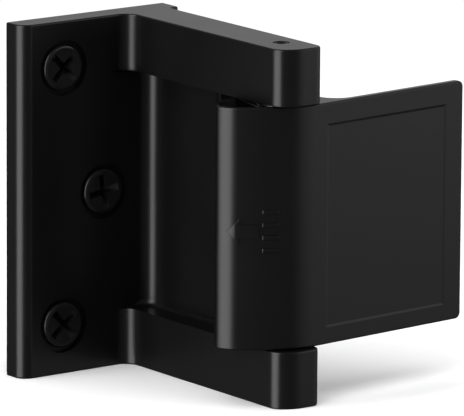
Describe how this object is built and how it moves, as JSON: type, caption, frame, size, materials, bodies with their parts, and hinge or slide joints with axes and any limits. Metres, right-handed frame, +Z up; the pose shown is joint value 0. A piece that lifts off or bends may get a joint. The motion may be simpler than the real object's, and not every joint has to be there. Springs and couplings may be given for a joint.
{
  "type": "door reinforcement lock",
  "caption": "Surface-mounted door lock: cast bracket with a screw flange and two ears, holding a spring-loaded swinging leaf with a curved drum front and a flat blocking plate.",
  "frame": {"origin": "on the flange's back face, behind the middle of the arm's thickness, at mid-height", "axes": "+X along the wall to the side the leaf points to, +Y into the wall, +Z up along the hinge pin"},
  "size_m": [0.0788, 0.0735, 0.076],
  "materials": {
    "black_casting": "satin",
    "black_steel": "satin",
    "bright_steel": "brushed",
    "spring_steel": "satin",
    "bearing_bronze": "satin",
    "bearing_plastic": "matte"
  },
  "bodies": {
    "bracket": {"bracket": "black_casting", "mounting_screws": "black_steel", "hinge_pin": "black_steel", "pin_set_screw": "black_steel", "upper_thrust_washer": "bearing_plastic", "lower_thrust_washer": "bearing_plastic", "torsion_spring": "spring_steel"},
    "slider": {"slider": "bright_steel", "upper_bush": "bearing_bronze", "lower_bush": "bearing_bronze", "upper_push_spring": "spring_steel", "lower_push_spring": "spring_steel"},
    "leaf": {"leaf": "black_casting", "knuckle_cover": "black_steel", "cover_screws": "black_steel"}
  },
  "joints": [
    {"name": "leaf_hinge", "type": "hinge", "parent": "bracket", "child": "slider", "pos_m": [0.0005, -0.0515, 0], "axis": [0, 0, 1], "range_deg": [0, 85], "stiffness_Nm_per_rad": 0.1, "springref_deg": -17.19, "deforming": ["torsion_spring"]},
    {"name": "leaf_push", "type": "slide", "parent": "slider", "child": "leaf", "axis": [-0.9967, -0.0809, 0], "range_m": [0, 0.002], "stiffness_N_per_m": 2500, "springref_m": -0.001, "deforming": ["upper_push_spring", "lower_push_spring"]}
  ]
}
